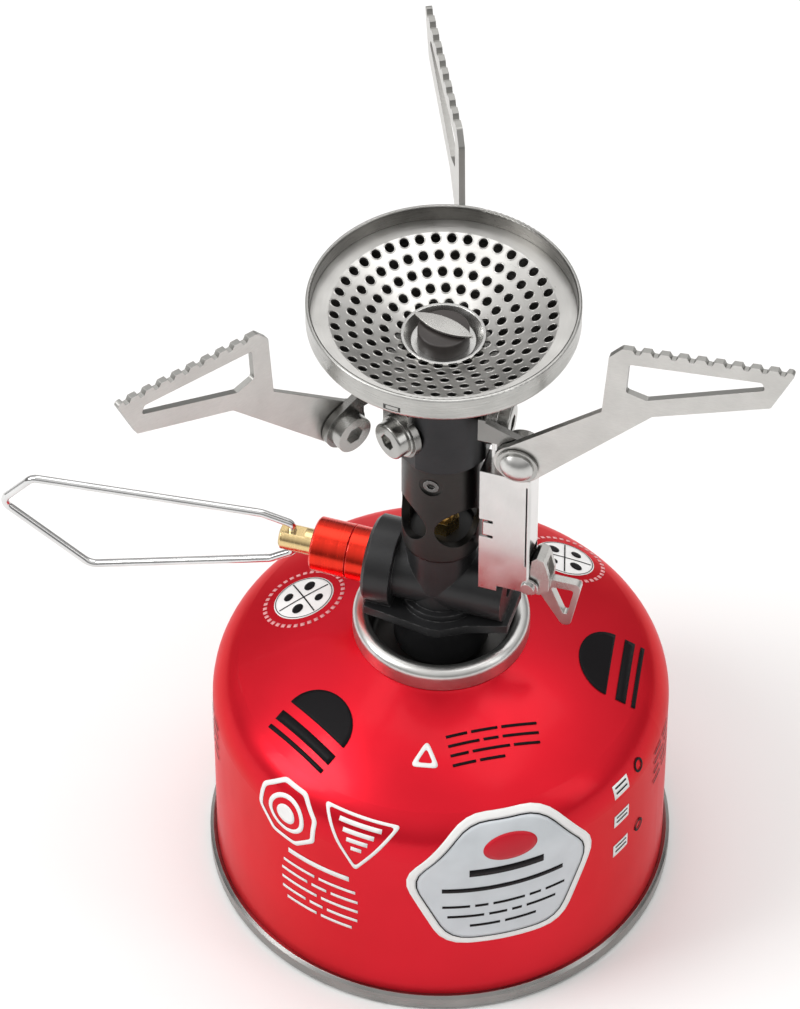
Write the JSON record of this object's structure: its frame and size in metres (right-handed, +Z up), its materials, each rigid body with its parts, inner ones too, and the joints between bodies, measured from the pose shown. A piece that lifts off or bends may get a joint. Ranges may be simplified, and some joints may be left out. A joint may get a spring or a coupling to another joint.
{
  "type": "canister stove",
  "caption": "Camping gas stove screwed onto a squat gas canister, with folding pot supports, a wire valve handle and a lever igniter.",
  "frame": {"origin": "centre of the canister's base ring, on the surface it stands on", "axes": "+Z up the burner column, -X towards the valve handle, +Y away from the igniter lever's front wall"},
  "size_m": [0.156, 0.1174, 0.1628],
  "materials": {
    "red_paint": "gloss",
    "tinned_steel": "satin",
    "seal_rubber": "matte",
    "nylon": "matte",
    "spring_steel": "satin",
    "dark_cast_metal": "satin",
    "brass": "satin",
    "tube_steel": "satin",
    "collar_steel": "satin",
    "burner_steel": "satin",
    "ceramic": "matte",
    "bright_steel": "polished",
    "black_plastic": "matte",
    "dark_lever": "satin",
    "support_steel": "satin",
    "red_anodised": "satin",
    "polished_wire": "polished"
  },
  "bodies": {
    "stove": {"bracket_screws": "bright_steel", "bracket_washers": "bright_steel", "burner_collar": "collar_steel", "burner_cup": "burner_steel", "burner_dish": "burner_steel", "canister_base": "tinned_steel", "canister_connector": "brass", "canister_gasket": "seal_rubber", "canister_shell": "red_paint", "canister_spring": "spring_steel", "canister_stem": "nylon", "canister_valve_housing": "nylon", "connector_seal": "seal_rubber", "depressor_pin": "brass", "gas_jet": "brass", "igniter_bracket": "bright_steel", "igniter_electrode": "bright_steel", "igniter_ferrule": "bright_steel", "igniter_insulator": "ceramic", "lever_pin": "bright_steel", "mixing_tube": "tube_steel", "pivot_bolts": "bright_steel", "pivot_nuts": "bright_steel", "pivot_washers": "bright_steel", "regulator_body": "dark_cast_metal", "regulator_cap": "dark_cast_metal", "regulator_diaphragm": "seal_rubber", "regulator_spring": "spring_steel", "sleeve_ring": "red_anodised", "spindle_seal": "seal_rubber", "striker_body": "black_plastic", "striker_spring": "spring_steel", "support_bracket_1": "support_steel", "support_bracket_2": "support_steel", "support_bracket_3": "support_steel", "tube_set_screw": "bright_steel", "valve_cup": "tinned_steel", "valve_sleeve": "red_anodised"},
    "valve": {"valve_spindle": "brass"},
    "handle": {"wire_handle": "polished_wire"},
    "support_1": {"pot_support_1": "support_steel"},
    "support_2": {"pot_support_2": "support_steel"},
    "support_3": {"pot_support_3": "support_steel"},
    "trigger": {"trigger_lever": "dark_lever"},
    "plunger": {"striker_plunger": "black_plastic"}
  },
  "joints": [
    {"name": "valve_turn", "type": "hinge", "parent": "stove", "child": "valve", "pos_m": [-0.0303, 0, 0.0776], "axis": [1, 0, 0], "range_deg": [0, 720]},
    {"name": "handle_fold", "type": "hinge", "parent": "valve", "child": "handle", "pos_m": [-0.0303, 0, 0.0776], "axis": [0, 0, -1], "range_deg": [-82.5, 97.5]},
    {"name": "support_1_fold", "type": "hinge", "parent": "stove", "child": "support_1", "pos_m": [0.01729, 0.00045, 0.124], "axis": [-0.0262, 0.9997, 0], "range_deg": [0, 100]},
    {"name": "support_2_fold", "type": "hinge", "parent": "stove", "child": "support_2", "pos_m": [-0.00809, 0.01529, 0.124], "axis": [-0.8838, -0.4679, 0], "range_deg": [0, 100]},
    {"name": "support_3_fold", "type": "hinge", "parent": "stove", "child": "support_3", "pos_m": [-0.00937, -0.01454, 0.124], "axis": [0.8406, -0.5417, 0], "range_deg": [0, 100]},
    {"name": "trigger_squeeze", "type": "hinge", "parent": "stove", "child": "trigger", "pos_m": [0.0188, -0.0026, 0.0854], "axis": [0, 1, 0], "range_deg": [0, 22], "stiffness_Nm_per_rad": 0.02, "springref_deg": -11.46},
    {"name": "plunger_lift", "type": "slide", "parent": "stove", "child": "plunger", "axis": [0, 0, 1], "range_m": [0, 0.0014], "deforming": ["striker_spring"]}
  ],
  "couplings": [
    {"joint": "plunger_lift", "follows": "trigger_squeeze", "m_per_rad": 0.0036}
  ]
}
